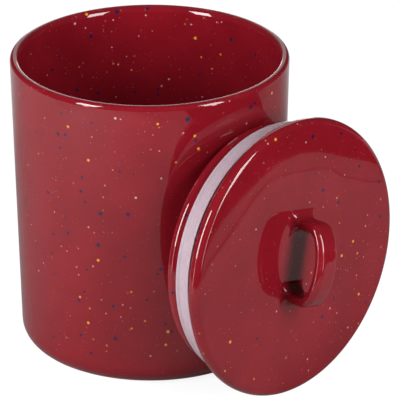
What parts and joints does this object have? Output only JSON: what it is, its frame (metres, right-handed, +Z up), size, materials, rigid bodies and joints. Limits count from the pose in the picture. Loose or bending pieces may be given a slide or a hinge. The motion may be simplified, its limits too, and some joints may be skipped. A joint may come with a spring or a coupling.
{
  "type": "storage jar",
  "caption": "Round glazed stoneware storage jar with its lid lifted off and leaning against it; the lid has a strap handle and a seal ring.",
  "frame": {"origin": "centre of the jar's foot ring on the surface it stands on", "axes": "+Z up along the jar's own axis; +X from the jar towards the middle of the leaning lid"},
  "size_m": [0.1964, 0.146, 0.158],
  "materials": {
    "red_glaze": "deep red gloss glaze with fine coloured speckles",
    "silicone": "milky translucent silicone"
  },
  "bodies": {
    "jar": {"jar_body": "red_glaze"},
    "lid_set": {"lid": "red_glaze", "seal_ring": "silicone", "lid_handle": "red_glaze"}
  },
  "joints": [
    {"name": "lid_lift", "type": "slide", "parent": "jar", "child": "lid_set", "axis": [0.9993, -0.0244, 0.0297], "range_m": [0, 0.12]}
  ]
}
